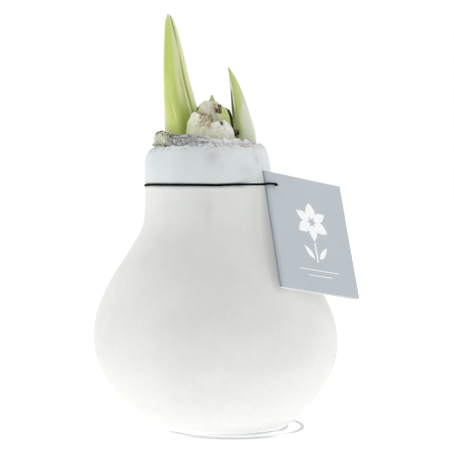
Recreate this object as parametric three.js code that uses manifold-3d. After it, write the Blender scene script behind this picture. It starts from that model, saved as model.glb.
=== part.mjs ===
// An amaryllis bulb in a coat of white velvet wax. It stands on a spiral of wire whose inner
// end is pushed up into its base. Two leaf buds, the stump of a cut leaf and the tip of a
// young one grow from its trimmed nose, and a black elastic round its neck holds a folded tag.
// Millimetres, +Z up. The origin is on the table, under the middle of the bulb's base.
import * as THREE from 'three';
import { mergeVertices } from 'three/addons/utils/BufferGeometryUtils.js';
import Module from 'manifold-3d';

const wasm = await Module();
wasm.setup();

// ---------------------------------------------------------------- driving dimensions

const GAP = 0.3; // clearance between pieces that touch
const FACET = 0.1; // extra room round the wire, because its hole has flat sides
const TURN = 2 * Math.PI;
const RIGHT_ANGLE = Math.PI / 2;
const LEAN = 0.047; // the bulb's middle drifts this far to -X for each mm of height

const WIRE = 1.8; // diameter of the stand's wire
const STAND = { centreX: 4.5, outer: 30, inner: 4.5, turns: 2.7, easing: 1.6, stepsPerTurn: 28 };
// the pocket leaves room for the bend, and enters the bulb by a bite above the wax
const SPIKE = { x: 4.6, y: 3.1, bend: 2, top: 22, pocket: 3.4, bite: 0.6 };

const COAT_BASE = WIRE + GAP;
const WALL = 2.4; // thickness of the wax
const COAT_SIDES = 40;
const OUTER_ROWS = 25;
const INNER_ROWS = 10; // the same for the wax and the bulb, so that the gap stays even
// radius and height of the coat's outside, from the edge of its flat base to its shoulder
const COAT_OUTLINE = [
  [25.5, COAT_BASE], [29.0, 3.1], [31.6, 5.2], [35.6, 8.8], [40.2, 14], [45.2, 21], [49.1, 29.5],
  [50.1, 38], [49.2, 46], [46.4, 54], [40.9, 64], [33.8, 74], [28.4, 83], [26.4, 91], [25.9, 98],
];
const COAT_NECK = [[25.9, 104], [25.8, 108], [25.4, 112]];
const COAT_LIP = [[24.6, 114.4], [23.2, 116.1], [21.8, 116.7], [21.0, 116.2], [21.4, 114.8]];
const LIP_WAVE = 0.45; // how far the lip's edge rises and dips

// radius and height of the bulb's trimmed top, from its shoulder inwards over its cut scales
const BULB_TOP = [
  [21.3, 113.8], [20.6, 114.3], [18.1, 114.3], [17.9, 118.3], [15.6, 118.9], [15.2, 117.8],
  [12.9, 119.4], [12.5, 118.4], [9.8, 120.0],
];

const CORD = 1.0; // diameter of the elastic
const CORD_Z = 101;
const GROOVE = { radius: 25.1, floor: 0.6, mouth: 1.4 }; // the elastic presses into the velvet
// the knot is at an angle behind the neck, and covers both ends of the ring, so many degrees apart
const KNOT = { angle: 99, ends: 2.6, radius: 1.5, out: 1.4, tail: 8 };

const TAG = { width: 40.5, height: 50.5, leaf: 0.45, open: 0.5, bevel: 0.25, crease: 1.2 };
const TAG_HOLE = { radius: 1.75, fromFold: 5.9, fromTop: 5.6 };
const TAG_CORNER = new THREE.Vector3(17.3, -15.1, 106.7); // its top corner beside the neck
const TAG_ACROSS = new THREE.Vector3(0.803, 0.573, -0.163);
const TAG_DOWN = new THREE.Vector3(0.126, -0.431, -0.893);

// Leaf buds. Each station is [height, left edge, right edge], seen from the front.
const TALL_SHOOT = {
  stations: [
    [106, -19.5, -8.5], [110, -21.0, -7.2], [116, -22.2, -6.6], [122, -22.7, -7.0], [130, -22.9, -8.6],
    [137, -23.1, -10.6], [146, -23.3, -13.0], [156, -23.2, -15.3], [163, -22.9, -17.2],
    [167.5, -22.6, -18.7], [170.2, -22.1, -19.9],
  ],
  tip: [171.3, -21.3], y: 3, flatness: 0.62, sides: 20,
  wrap: { depth: 0.09, from: -35, to: -72, side: 1 },
};
const SHORT_SHOOT = {
  stations: [
    [107, 8.6, 13.2], [112, 7.6, 14.2], [117, 6.8, 14.8], [121.4, 6.0, 14.6], [126, 5.4, 13.5],
    [132, 4.8, 11.5], [137, 4.5, 9.7], [141.5, 4.1, 7.9], [145.5, 3.65, 5.9],
  ],
  tip: [148.9, 3.35], y: -1.6, flatness: 0.5, sides: 18,
  wrap: { depth: 0.11, from: -118, to: -142, side: -1 },
};
const LEAF_TIP = {
  stations: [
    [124, -4.1, -2.3], [129, -4.4, -2.0], [133, -4.7, -1.9], [135.3, -4.5, -2.1],
    [136.8, -3.9, -2.7],
  ],
  tip: [137.8, -3.3], y: 0.2, flatness: 0.7, sides: 10,
  wrap: { depth: 0, from: 0, to: 0, side: 1 },
};

// ---------------------------------------------------------------- shared shapes

const degrees = (angle) => THREE.MathUtils.degToRad(angle);
const axisX = (z) => -LEAN * z; // middle of the bulb at a height

// The same draws every time, between 0 and 1.
function seededRandom(seed) {
  let state = seed;
  return () => {
    state = (state * 16807) % 2147483647;
    return state / 2147483647;
  };
}

// Piecewise linear reading of a list of [position, value] pairs.
function readAlong(pairs, position) {
  const last = pairs.length - 1;
  if (position <= pairs[0][0]) return pairs[0][1];
  if (position >= pairs[last][0]) return pairs[last][1];
  const next = pairs.findIndex(([at]) => at > position);
  const [from, low] = pairs[next - 1];
  const [to, high] = pairs[next];
  return low + ((high - low) * (position - from)) / (to - from);
}

// Moves every vertex of a geometry by a function of its place.
function warp(geometry, move) {
  const positions = geometry.getAttribute('position');
  const point = new THREE.Vector3();
  for (let i = 0; i < positions.count; i++) {
    point.fromBufferAttribute(positions, i);
    const moved = move(point);
    positions.setXYZ(i, moved.x, moved.y, moved.z);
  }
  return geometry;
}

// A closed three.js geometry as a solid that can be joined and cut.
function solidFrom(geometry) {
  const bare = geometry.clone();
  bare.deleteAttribute('normal');
  bare.deleteAttribute('uv');
  const merged = mergeVertices(bare, 1e-5);
  return new wasm.Manifold(new wasm.Mesh({
    numProp: 3,
    vertProperties: new Float32Array(merged.getAttribute('position').array),
    triVerts: new Uint32Array(merged.getIndex().array),
  }));
}

function geometryFrom(solid) {
  const { vertProperties, triVerts } = solid.getMesh();
  const geometry = new THREE.BufferGeometry();
  geometry.setAttribute('position', new THREE.BufferAttribute(vertProperties, 3));
  geometry.setIndex(new THREE.BufferAttribute(triVerts, 1));
  geometry.computeVertexNormals();
  return geometry;
}

// The biggest piece of a solid that a cut may have left in several.
function largestPiece(solid) {
  const pieces = solid.decompose();
  return pieces.reduce((best, piece) => (piece.volume() > best.volume() ? piece : best));
}

// Turns a [radius, height] outline about Z and leans it with the bulb.
function leaningLathe(outline, sides) {
  const points = outline.map(([radius, height]) => new THREE.Vector2(radius, height));
  const lathe = new THREE.LatheGeometry(points, sides);
  return warp(lathe, ({ x, y, z }) => new THREE.Vector3(x + axisX(y), -z, y));
}

// A path whose steps are exactly the points it is given.
class SteppedPath extends THREE.Curve {
  constructor(points) {
    super();
    this.points = points;
  }

  getPoint(t, target = new THREE.Vector3()) {
    const place = THREE.MathUtils.clamp(t, 0, 1) * (this.points.length - 1);
    const first = Math.min(Math.floor(place), this.points.length - 2);
    return target.lerpVectors(this.points[first], this.points[first + 1], place - first);
  }

  getPointAt(t, target) {
    return this.getPoint(t, target);
  }

  getTangentAt(t, target) {
    return this.getTangent(t, target);
  }
}

// An eight-sided tube with flats above, below and at its sides.
function tube(points, diameter) {
  const corner = diameter / 2 / Math.cos(TURN / 16);
  const section = new THREE.Shape();
  for (let side = 0; side < 8; side++) {
    const angle = ((side + 0.5) * TURN) / 8;
    const place = [corner * Math.cos(angle), corner * Math.sin(angle)];
    if (side === 0) section.moveTo(...place);
    else section.lineTo(...place);
  }
  section.closePath();
  const extrudePath = new SteppedPath(points);
  return new THREE.ExtrudeGeometry(section, { steps: points.length - 1, extrudePath });
}

// A leaf bud: flattened sections up its stations, closed at the tip, with the margin of its
// outer leaf as a step that runs up the side. grow widens it all round, for its socket.
function leafBud(bud, grow = 0) {
  const { stations, tip, y, flatness, sides, wrap } = bud;
  const heights = stations.map(([height]) => height);
  const edge = (side) => new THREE.SplineCurve(
    stations.map((station) => new THREE.Vector2(station[side], station[0])),
  );
  const left = edge(1);
  const right = edge(2);
  const rows = (stations.length - 1) * 2;
  const lowest = heights[0];
  const tall = tip[0] - lowest;
  // the cylinder's top row closes on the tip, and its lowest row is the rounded root
  const cylinder = new THREE.CylinderGeometry(1, 1, 1, sides, rows + 1);
  return warp(cylinder, (point) => {
    const row = Math.round((point.y + 0.5) * (rows + 1));
    const angle = Math.atan2(-point.z, point.x);
    const onSide = Math.hypot(point.x, point.z) > 0.5 ? 1 : 0;
    if (row > rows) return new THREE.Vector3(tip[1], y, tip[0] + grow);
    const from = left.getPoint(row / rows);
    const to = right.getPoint(row / rows);
    const height = row === 0 ? lowest - grow : (from.y + to.y) / 2;
    const margin = degrees(wrap.from + ((wrap.to - wrap.from) * (height - lowest)) / tall);
    const along = THREE.MathUtils.euclideanModulo(angle - margin, TURN) / TURN;
    const step = 1 + wrap.depth * wrap.side * (2 * along - 1);
    const halfWidth = ((to.x - from.x) / 2) * step + grow;
    const halfDepth = ((to.x - from.x) / 2) * step * flatness + grow;
    return new THREE.Vector3(
      (from.x + to.x) / 2 + halfWidth * Math.cos(angle) * onSide,
      y + halfDepth * Math.sin(angle) * onSide,
      height,
    );
  });
}

// ---------------------------------------------------------------- wire stand

// The path runs from the outer end round the spiral, through the origin, and up the spike.
function standPath() {
  const wireZ = WIRE / 2;
  const points = [];
  const steps = Math.round(STAND.turns * STAND.stepsPerTurn);
  for (let step = steps; step >= 0; step--) {
    const along = step / steps;
    const radius = STAND.outer - (STAND.outer - STAND.inner) * (1 - along) ** STAND.easing;
    const angle = Math.PI + along * STAND.turns * TURN;
    const x = STAND.centreX + radius * Math.cos(angle);
    points.push(new THREE.Vector3(x, radius * Math.sin(angle), wireZ));
  }
  // the wire curls in from the origin, then bends up a quarter turn to the spike
  const bendStart = new THREE.Vector2(SPIKE.x - SPIKE.bend, SPIKE.y);
  for (const turned of [30, 60]) {
    const angle = degrees(turned);
    const x = bendStart.x * (1 - Math.cos(angle));
    points.push(new THREE.Vector3(x, bendStart.y * Math.sin(angle), wireZ));
  }
  for (const turned of [0, 22.5, 45, 67.5, 90]) {
    const angle = degrees(turned);
    points.push(new THREE.Vector3(
      bendStart.x + SPIKE.bend * Math.sin(angle),
      bendStart.y,
      wireZ + SPIKE.bend * (1 - Math.cos(angle)),
    ));
  }
  points.push(new THREE.Vector3(SPIKE.x, SPIKE.y, SPIKE.top));
  return points;
}

// The room that the spike and its bend need in the wax and the bulb.
function spikeHole() {
  const radius = WIRE / 2 + GAP + FACET;
  const pocketTop = COAT_BASE + WALL + GAP + SPIKE.bite;
  const stem = new THREE.CylinderGeometry(radius, radius, SPIKE.top + GAP, 16);
  stem.rotateX(RIGHT_ANGLE).translate(SPIKE.x, SPIKE.y, (SPIKE.top + GAP) / 2);
  const pocket = new THREE.CylinderGeometry(SPIKE.pocket, SPIKE.pocket, pocketTop, 20);
  pocket.rotateX(RIGHT_ANGLE).translate(SPIKE.x - SPIKE.bend / 2, SPIKE.y, pocketTop / 2);
  return solidFrom(stem).add(solidFrom(pocket));
}

// ---------------------------------------------------------------- wax coat and bulb

// The coat's outside, or the same wall set in by a distance, as [radius, height] points.
function wallOutline(inset, steps) {
  const outline = new THREE.SplineCurve(COAT_OUTLINE.map((point) => new THREE.Vector2(...point)));
  const points = [];
  for (let step = 0; step <= steps; step++) {
    const place = outline.getPointAt(step / steps);
    const along = outline.getTangentAt(step / steps);
    points.push([place.x - along.y * inset, place.y + along.x * inset]);
  }
  return points;
}

function waxCoat() {
  const groove = [
    [COAT_NECK[0][0], CORD_Z - GROOVE.mouth], [GROOVE.radius, CORD_Z - GROOVE.floor],
    [GROOVE.radius, CORD_Z + GROOVE.floor], [COAT_NECK[0][0], CORD_Z + GROOVE.mouth],
  ];
  const innerNeck = COAT_NECK.map(([radius, height]) => [radius - WALL, height]);
  const outline = [
    [0, COAT_BASE], ...wallOutline(0, OUTER_ROWS), ...groove, ...COAT_NECK, ...COAT_LIP,
    ...innerNeck.reverse(), ...wallOutline(WALL, INNER_ROWS).reverse(), [0, COAT_BASE + WALL],
  ];
  const coat = leaningLathe(outline, COAT_SIDES);
  const neckTop = COAT_NECK.at(-1)[1];
  warp(coat, (point) => {
    const angle = Math.atan2(point.y, point.x - axisX(point.z));
    const reach = THREE.MathUtils.smoothstep(point.z, neckTop, neckTop + 3);
    const wave = Math.cos(angle) + 0.7 * Math.sin(3 * angle + 1) + 0.4 * Math.cos(5 * angle);
    return point.setZ(point.z + LIP_WAVE * wave * reach);
  });
  return solidFrom(coat).subtract(spikeHole());
}

// One fleshy scale of the nose that stands up as a curved wall. Its top edge is a list of
// [angle in degrees, height] pairs.
function standingScale({ x, y, radius, thick, foot, lean, edge, steps }) {
  const first = edge[0][0];
  const span = edge[edge.length - 1][0] - first;
  return warp(new THREE.BoxGeometry(1, 1, 1, steps, 1, 3), (point) => {
    const turned = first + (point.x + 0.5) * span;
    const up = point.z + 0.5;
    const height = foot + (readAlong(edge, turned) - foot) * up;
    const halfThick = (thick / 2) * (1 - 0.5 * up * up);
    const middle = radius - lean * up;
    const reach = middle - 2 * point.y * halfThick;
    const angle = degrees(turned);
    return new THREE.Vector3(x + reach * Math.cos(angle), y + reach * Math.sin(angle), height);
  });
}

function lobe({ at, half }) {
  const ball = new THREE.SphereGeometry(1, 14, 12).rotateX(RIGHT_ANGLE);
  return ball.scale(...half).translate(...at);
}

const FRONT_SCALE = {
  x: -3.3, y: 3, radius: 10.6, thick: 2.4, foot: 117, lean: 0.5, steps: 20,
  edge: [
    [203, 120.5], [214, 125.8], [225, 130.2], [236, 130.2], [244, 127.8], [253, 126], [264, 125.2],
    [276, 125.5], [286, 127], [297, 126.8], [309, 125.6], [321, 123.8], [332, 121.2], [337, 119],
  ],
};
const BACK_SCALE = {
  x: -2.5, y: 1.5, radius: 10.4, thick: 2.2, foot: 117, lean: 0.8, steps: 12,
  edge: [[40, 119.5], [52, 124.5], [66, 126.5], [84, 125.2], [100, 127.4], [116, 125.6], [132, 120.5]],
};
// the round shoulder behind the front scale, and the narrow fold at its right
const NOSE_LOBES = [
  { at: [-6.1, 1, 126], half: [3.9, 4, 9.3] },
  { at: [-3.1, -0.1, 126.4], half: [2.3, 2.7, 8.2] },
];

function bulb(sockets) {
  const inset = WALL + GAP;
  const neck = COAT_NECK.map(([radius, height]) => [radius - inset, height]);
  const [shoulderRadius, neckTop] = neck.pop();
  const outline = [
    [0, COAT_BASE + inset], ...wallOutline(inset, INNER_ROWS), ...neck,
    [shoulderRadius, neckTop - 2 * GAP], ...BULB_TOP, [0, BULB_TOP.at(-1)[1]],
  ];
  const parts = [
    leaningLathe(outline, COAT_SIDES),
    standingScale(FRONT_SCALE),
    standingScale(BACK_SCALE),
    ...NOSE_LOBES.map(lobe),
  ];
  const whole = parts.map(solidFrom).reduce((joined, part) => joined.add(part));
  return largestPiece(sockets.reduce((cut, socket) => cut.subtract(socket), whole));
}

// The frayed ends of the outer, dried scales: one ring whose two ragged crests have a furrow
// between them. It is lower at the right, and higher where a thick scale is left standing as a
// stump beside the tall shoot.
const DRY_RING = {
  inner: 18.45, outer: 20.6, furrow: 19.5, foot: 114.6, smoothBelow: 117.4, sides: 72,
  fray: 1.9, splay: 0.03, dip: 1.1,
};
const DRY_STUMP = { angle: 212, spread: 16, rise: 2.6 };

function dryScales(sockets) {
  const { inner, outer, furrow, foot, smoothBelow, sides, fray, splay, dip } = DRY_RING;
  const random = seededRandom(41);
  const ragged = Array.from({ length: sides }, () => [random(), random(), random()]);
  const ring = leaningLathe([
    [inner, foot], [outer, foot], [outer, smoothBelow - 0.2], [20.0, 119.4], [furrow, 117.8],
    [18.9, 120.2], [inner, smoothBelow + 0.2], [inner, foot],
  ], sides);
  warp(ring, (point) => {
    const out = point.x - axisX(point.z);
    const angle = THREE.MathUtils.euclideanModulo(Math.atan2(point.y, out), TURN);
    const draw = ragged[Math.round((angle / TURN) * sides) % sides];
    const radius = Math.hypot(out, point.y);
    const inFurrow = Math.abs(radius - furrow) < 0.1;
    if (point.z < smoothBelow || inFurrow) return point;
    const onOuter = radius > furrow;
    const fromStump = (angle - degrees(DRY_STUMP.angle)) / degrees(DRY_STUMP.spread);
    const stump = DRY_STUMP.rise * Math.exp(-(fromStump ** 2));
    const lower = dip * Math.max(0, Math.cos(angle));
    const ragRise = fray * ((onOuter ? draw[0] : draw[1]) - 0.5);
    const widen = onOuter ? 1 + splay * draw[2] : 1;
    return new THREE.Vector3(
      axisX(point.z) + out * widen,
      point.y * widen,
      point.z + ragRise + stump - lower,
    );
  });
  const whole = solidFrom(ring);
  return largestPiece(sockets.reduce((cut, socket) => cut.subtract(socket), whole));
}

// ---------------------------------------------------------------- cut leaf

// Stations of the cut leaf: [height, left edge, right edge]. Its dried left side curls forward.
const LEAF_STUMP = {
  stations: [
    [113, 0.6, 4.6], [119, 0.2, 5.6], [124, 0.0, 6.0], [128.5, -0.4, 5.2], [131, -2.2, 4.4],
    [133, -2.0, 3.6],
  ],
  y: 3.4, thick: 1.3, curl: 1.2, slant: 1.1,
};

function leafStump(grow = 0) {
  const { stations, y, thick, curl, slant } = LEAF_STUMP;
  const rows = stations.length - 1;
  return warp(new THREE.BoxGeometry(1, 1, 1, 6, 1, rows), (point) => {
    const row = Math.round((point.z + 0.5) * rows);
    const [height, left, right] = stations[row];
    const across = point.x * 2;
    const end = (row === rows ? grow - slant * across : 0) - (row === 0 ? grow : 0);
    return new THREE.Vector3(
      (left + right) / 2 + across * ((right - left) / 2 + grow),
      y - curl * across * across + 2 * point.y * (thick / 2 + grow),
      height + end,
    );
  });
}

// ---------------------------------------------------------------- elastic and tag

function tagFrame() {
  const across = TAG_ACROSS.clone().normalize();
  const back = new THREE.Vector3().crossVectors(across, TAG_DOWN).normalize();
  const up = new THREE.Vector3().crossVectors(across, back);
  const corner = TAG_CORNER.clone().addScaledVector(up, -TAG.height);
  return new THREE.Matrix4().makeBasis(across, back, up).setPosition(corner);
}

// A point at a level beside the tag: in from its folded edge, and out from its face.
function besideTag(inwards, level, out) {
  const frame = tagFrame();
  const top = new THREE.Vector3(inwards, -out, TAG.height).applyMatrix4(frame);
  const up = new THREE.Vector3().setFromMatrixColumn(frame, 2);
  return top.addScaledVector(up, (level - top.z) / up.z);
}

// A card folded along its left edge, its two leaves a little open at the right.
function tag() {
  const { width, height, leaf, open, bevel, crease } = TAG;
  const fold = new THREE.Shape();
  const outline = [
    [bevel, 0], [width, 0], [width, leaf], [crease, leaf], [width, leaf + open],
    [width, 2 * leaf + open], [bevel, 2 * leaf], [0, 2 * leaf - bevel], [0, bevel],
  ];
  outline.forEach((place, index) => (index === 0 ? fold.moveTo(...place) : fold.lineTo(...place)));
  fold.closePath();
  const card = new THREE.ExtrudeGeometry(fold, { depth: height, bevelEnabled: false });
  const punch = new THREE.CylinderGeometry(TAG_HOLE.radius, TAG_HOLE.radius, width, 20);
  punch.translate(TAG_HOLE.fromFold, 0, height - TAG_HOLE.fromTop);
  const punched = solidFrom(card).subtract(solidFrom(punch));
  return geometryFrom(punched).applyMatrix4(tagFrame());
}

// A point on the cord's ring round the neck.
function roundNeck(angle, radius, z = CORD_Z) {
  const turned = degrees(angle);
  return new THREE.Vector3(axisX(CORD_Z) + radius * Math.cos(turned), radius * Math.sin(turned), z);
}

// The cord leaves its knot behind the neck, runs round the left and the front, over the tag's
// edge, in through its hole, and back round the right to the knot.
function cordPath() {
  const radius = GROOVE.radius + GAP + CORD / 2;
  const stepAngle = 360 / COAT_SIDES;
  const holeIn = TAG_HOLE.fromFold;
  const points = [roundNeck(KNOT.angle + KNOT.ends / 2, radius + KNOT.out)];
  for (let angle = KNOT.angle + stepAngle; angle < 290; angle += stepAngle) {
    points.push(roundNeck(angle, radius));
  }
  points.push(
    roundNeck(295, radius + 0.1),
    besideTag(-2.6, CORD_Z + 0.1, 1.15),
    besideTag(0.3, CORD_Z + 0.35, 1.1),
    besideTag(holeIn - 2.6, CORD_Z + 0.3, 1.15),
    besideTag(holeIn - 1.1, CORD_Z + 0.1, 0.95),
    besideTag(holeIn - 0.15, CORD_Z - 0.2, 0.3),
    besideTag(holeIn + 0.1, CORD_Z - 0.2, -0.9),
    besideTag(holeIn + 0.9, CORD_Z - 0.1, -2.4),
  );
  for (let angle = stepAngle; angle < KNOT.angle; angle += stepAngle) {
    points.push(roundNeck(angle, radius));
  }
  points.push(roundNeck(KNOT.angle - KNOT.ends / 2, radius + KNOT.out));
  return points;
}

function elasticCord() {
  const knotRadius = GROOVE.radius + GAP + CORD / 2 + KNOT.out;
  const middle = roundNeck(KNOT.angle, knotRadius);
  const knot = new THREE.SphereGeometry(KNOT.radius, 12, 10).translate(...middle.toArray());
  const tails = [-1, 1].map((side) => tube([
    roundNeck(KNOT.angle + side, knotRadius + 0.3),
    roundNeck(KNOT.angle + side * 3, knotRadius + 1.8, CORD_Z - 1.5),
    roundNeck(KNOT.angle + side * 5, knotRadius + 2.2, CORD_Z - KNOT.tail / 2),
    roundNeck(KNOT.angle + side * 8, knotRadius + 1.9, CORD_Z - KNOT.tail),
  ], CORD));
  return [tube(cordPath(), CORD), knot, ...tails]
    .map(solidFrom)
    .reduce((joined, part) => joined.add(part));
}

// ---------------------------------------------------------------- the object

const finish = (color, roughness, metalness = 0) => (
  new THREE.MeshStandardMaterial({ color, roughness, metalness })
);

const object = new THREE.Group();

function place(name, geometry, material) {
  const mesh = new THREE.Mesh(geometry, material);
  mesh.name = name;
  object.add(mesh);
}

const shootSockets = [TALL_SHOOT, SHORT_SHOOT].map((bud) => solidFrom(leafBud(bud, GAP)));
const noseSockets = [
  ...shootSockets, solidFrom(leafBud(LEAF_TIP, GAP)), solidFrom(leafStump(GAP)), spikeHole(),
];

place('wire_stand', tube(standPath(), WIRE), finish(0xb9bbbd, 0.35, 1));
place('wax_coat', geometryFrom(waxCoat()), finish(0xf1f1ef, 0.95));
place('bulb', geometryFrom(bulb(noseSockets)), finish(0xdcdab4, 0.6));
place('dry_scales', geometryFrom(dryScales(shootSockets)), finish(0x9a939c, 0.9));
place('tall_shoot', leafBud(TALL_SHOOT), finish(0xa3bb3c, 0.45));
place('short_shoot', leafBud(SHORT_SHOOT), finish(0xa9bd6e, 0.5));
place('leaf_stump', leafStump(), finish(0xa9b64e, 0.5));
place('leaf_tip', leafBud(LEAF_TIP), finish(0x8fa84e, 0.5));
place('elastic_cord', geometryFrom(elasticCord()), finish(0x101010, 0.8));
place('tag', tag(), finish(0xaeb7bb, 0.7));

export default object;
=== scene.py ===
"""An amaryllis bulb in a coat of white velvet wax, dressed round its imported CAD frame.

Shapes are worked out in millimetres, as in the part's source, and a mesh is made in metres.
+X is right in the front view, +Y goes away from the camera, and +Z is up.
"""

import random
from math import cos, degrees as to_degrees, exp, pi, radians, sin, sqrt
from types import SimpleNamespace as Sizes

import bmesh
import bpy
from mathutils import Matrix, Vector, noise


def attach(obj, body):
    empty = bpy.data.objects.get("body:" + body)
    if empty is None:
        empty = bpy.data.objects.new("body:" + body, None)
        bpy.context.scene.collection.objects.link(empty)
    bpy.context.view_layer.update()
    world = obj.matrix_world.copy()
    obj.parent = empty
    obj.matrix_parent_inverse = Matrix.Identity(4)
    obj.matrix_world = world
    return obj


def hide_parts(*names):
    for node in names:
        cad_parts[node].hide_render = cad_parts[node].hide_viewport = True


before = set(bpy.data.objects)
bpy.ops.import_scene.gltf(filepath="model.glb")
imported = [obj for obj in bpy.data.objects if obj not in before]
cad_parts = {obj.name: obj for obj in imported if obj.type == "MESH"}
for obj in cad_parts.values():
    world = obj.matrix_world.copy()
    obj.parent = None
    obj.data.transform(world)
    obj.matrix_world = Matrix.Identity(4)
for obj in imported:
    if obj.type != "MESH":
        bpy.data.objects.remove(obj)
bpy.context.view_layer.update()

# ---------------------------------------------------------------- driving dimensions, in mm

MM = 0.001
TURN = 2 * pi
GAP = 0.3  # clearance between CAD pieces that touch
LEAN = 0.047  # the bulb's middle drifts this far to -X for each mm of height

WIRE = 1.8
STAND = Sizes(centre_x=4.5, outer=30, inner=4.5, turns=2.7, easing=1.6, steps_a_turn=72)
SPIKE = Sizes(x=4.6, y=3.1, bend=2, top=22, pocket=3.4, steps=8)

COAT_BASE = WIRE + GAP
WALL = 2.4
# radius and height of the coat's outside, in three stretches, and of the bulb's trimmed top
COAT_OUTLINE = [
    (25.5, COAT_BASE), (29.0, 3.1), (31.6, 5.2), (35.6, 8.8), (40.2, 14), (45.2, 21),
    (49.1, 29.5), (50.1, 38), (49.2, 46), (46.4, 54), (40.9, 64), (33.8, 74), (28.4, 83),
    (26.4, 91), (25.9, 98),
]
COAT_NECK = [(25.9, 98), (25.9, 104), (25.8, 108), (25.4, 112)]
COAT_LIP = [(25.4, 112), (24.6, 114.4), (23.2, 116.1), (21.8, 116.7), (21.0, 116.2), (21.4, 114.8)]
BULB_TOP = [
    (21.3, 113.8), (20.6, 114.3), (18.1, 114.3), (17.9, 118.3), (15.6, 118.9), (15.2, 117.8),
    (12.9, 119.4), (12.5, 118.4), (9.8, 120.0), (5.0, 120.2), (1.5, 120.0),
]
COAT_STEPS = Sizes(round=340, base=16, wall=132, neck=50, lip=24, inner_neck=6, inner_wall=34)
LIP_WAVE = 0.45  # how far the lip's edge rises and dips
FLAKE_Z = 116.55  # height of the flakes at the lip's inner edge, and those further out lie lower
NOSE_FOOT = 117  # the scales and the sheath of the nose start here, inside the flesh
RING_FOOT = 114.7  # the dried ring starts here, inside the lip
SHREDS, RAGS, FLAKES = 300, 30, 110  # how many stand in the ring, stick out of it, and lie on the lip

CORD = 1.0
CORD_Z = 101
CORD_RADIUS = 25.9  # of the elastic's ring round the neck
# the knot, at an angle behind the neck, covers both ends of the ring, so many degrees to each side
KNOT = Sizes(angle=99, ends=1.3, out=1.4, tail=8)

TAG = Sizes(width=40.5, height=50.5, leaf=0.45, open=0.5, crease=1.2)
TAG_HOLE = Sizes(radius=1.25, from_fold=5.9, from_top=5.25)
TAG_CORNER = Vector((17.3, -15.1, 106.7))
TAG_ACROSS = Vector((0.803, 0.573, -0.163))
TAG_DOWN = Vector((0.126, -0.431, -0.893))
INK = 0.012  # how far the print stands out from the tag
CARD_EDGE = radians(35)  # the tag's edges are sharp where it turns by more than this

# Leaf buds. Each station is (height, left edge, right edge), seen from the front. The inner
# leaf keeps to one side of the bud, +1 for the right. The outer leaf wraps it from its front
# margin, which turns from one angle at the root to another at the tip, to the angle at its back.
# The rim is the share of the blade that its margin colours, and length is for the veins.
TALL_SHOOT = Sizes(
    stations=[
        (106, -19.5, -8.5), (110, -21.0, -7.2), (116, -22.2, -6.6), (122, -22.7, -7.0),
        (130, -22.9, -8.6), (137, -23.1, -10.6), (146, -23.3, -13.0), (156, -23.2, -15.3),
        (163, -22.9, -17.2), (167.5, -22.6, -18.7), (170.2, -22.1, -19.9), (171.3, -21.55, -21.05),
    ],
    y=3, flatness=0.62, inner_side=1, margin=(-38, -78), back=72, rim=0.035, length=65,
)
SHORT_SHOOT = Sizes(
    stations=[
        (107, 8.6, 13.2), (112, 7.6, 14.2), (117, 6.8, 14.8), (121.4, 6.0, 14.6), (126, 5.4, 13.5),
        (132, 4.8, 11.5), (137, 4.5, 9.7), (141.5, 4.1, 7.9), (145.5, 3.65, 5.9), (148.9, 3.1, 3.6),
    ],
    y=-1.6, flatness=0.5, inner_side=-1, margin=(-128, -142), back=118, rim=0.075, length=42,
)
LEAF_TIP = Sizes(
    stations=[
        (124, -4.1, -2.3), (129, -4.4, -2.0), (133, -4.7, -1.9), (135.3, -4.5, -2.1),
        (136.8, -3.9, -2.7), (137.8, -3.55, -3.05),
    ],
    y=0.2, flatness=0.7, inner_side=1, margin=(-60, -80), back=90, rim=0.04, length=14,
)
OUTER_LEAF = 0.75  # its thickness
CUT_LEAF = Sizes(
    stations=[
        (113, 0.6, 4.6), (119, 0.2, 5.6), (124, 0.0, 6.0), (128.5, -0.4, 5.2), (131, -0.9, 4.4),
        (133, -1.0, 3.6),
    ],
    y=3.4, thick=1.3, curl=1.2, slant=1.1,
)

# The studio. Places are in metres, and the camera looks down by some degrees.
CAMERA = Sizes(place=(0.00288, -0.58, 0.101), down=1.727, lens=111.77, sensor=36)
LIT_POINT = Vector((0, 0, 0.08))
FLOOR_HALF = 4000  # mm
WHITE = (1, 1, 1, 1)

# ---------------------------------------------------------------- numbers and curves


def mix(low, high, share):
    return low + (high - low) * share


def smooth(low, high, value):
    share = min(max((value - low) / (high - low), 0), 1)
    return share * share * (3 - 2 * share)


def fade(low, high, value):
    """1 up to low, and 0 from high."""
    return 1 - smooth(low, high, value)


def between(rise, fall, value):
    """Rises over one (start, end) and falls over a later one."""
    return smooth(*rise, value) * fade(*fall, value)


def hump(value, middle, spread):
    return exp(-(((value - middle) / spread) ** 2))


def axis_x(z):
    return -LEAN * z


def polar(radius, angle, z=0.0, middle=0.0):
    return Vector((middle + radius * cos(angle), radius * sin(angle), z))


def read_along(pairs, position):
    """Reads a list of (position, value) pairs, with straight lines between them."""
    if position <= pairs[0][0]:
        return pairs[0][1]
    for (start, low), (end, high) in zip(pairs, pairs[1:]):
        if position < end:
            return mix(low, high, (position - start) / (end - start))
    return pairs[-1][1]


def ripple(point, size, seed=0.0):
    """Smooth noise from about -1 to 1, whose humps are about size apart."""
    return noise.noise(Vector(point) / size + Vector((seed, seed * 1.7, -seed)))


def curve_through(points):
    """A smooth curve through points, as a function of 0 to 1. Each stretch gets the same share."""
    points = [Vector(point) for point in points]
    last = len(points) - 1

    def at(share):
        place = min(max(share, 0), 1) * last
        first = min(int(place), last - 1)
        t = place - first
        start, end = points[first], points[first + 1]
        leave = (end - points[max(first - 1, 0)]) / 2
        arrive = (points[min(first + 2, last)] - start) / 2
        bend = (start - end) * 2 + leave + arrive
        return bend * t**3 + ((end - start) * 3 - leave * 2 - arrive) * t**2 + leave * t + start

    return at


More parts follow.
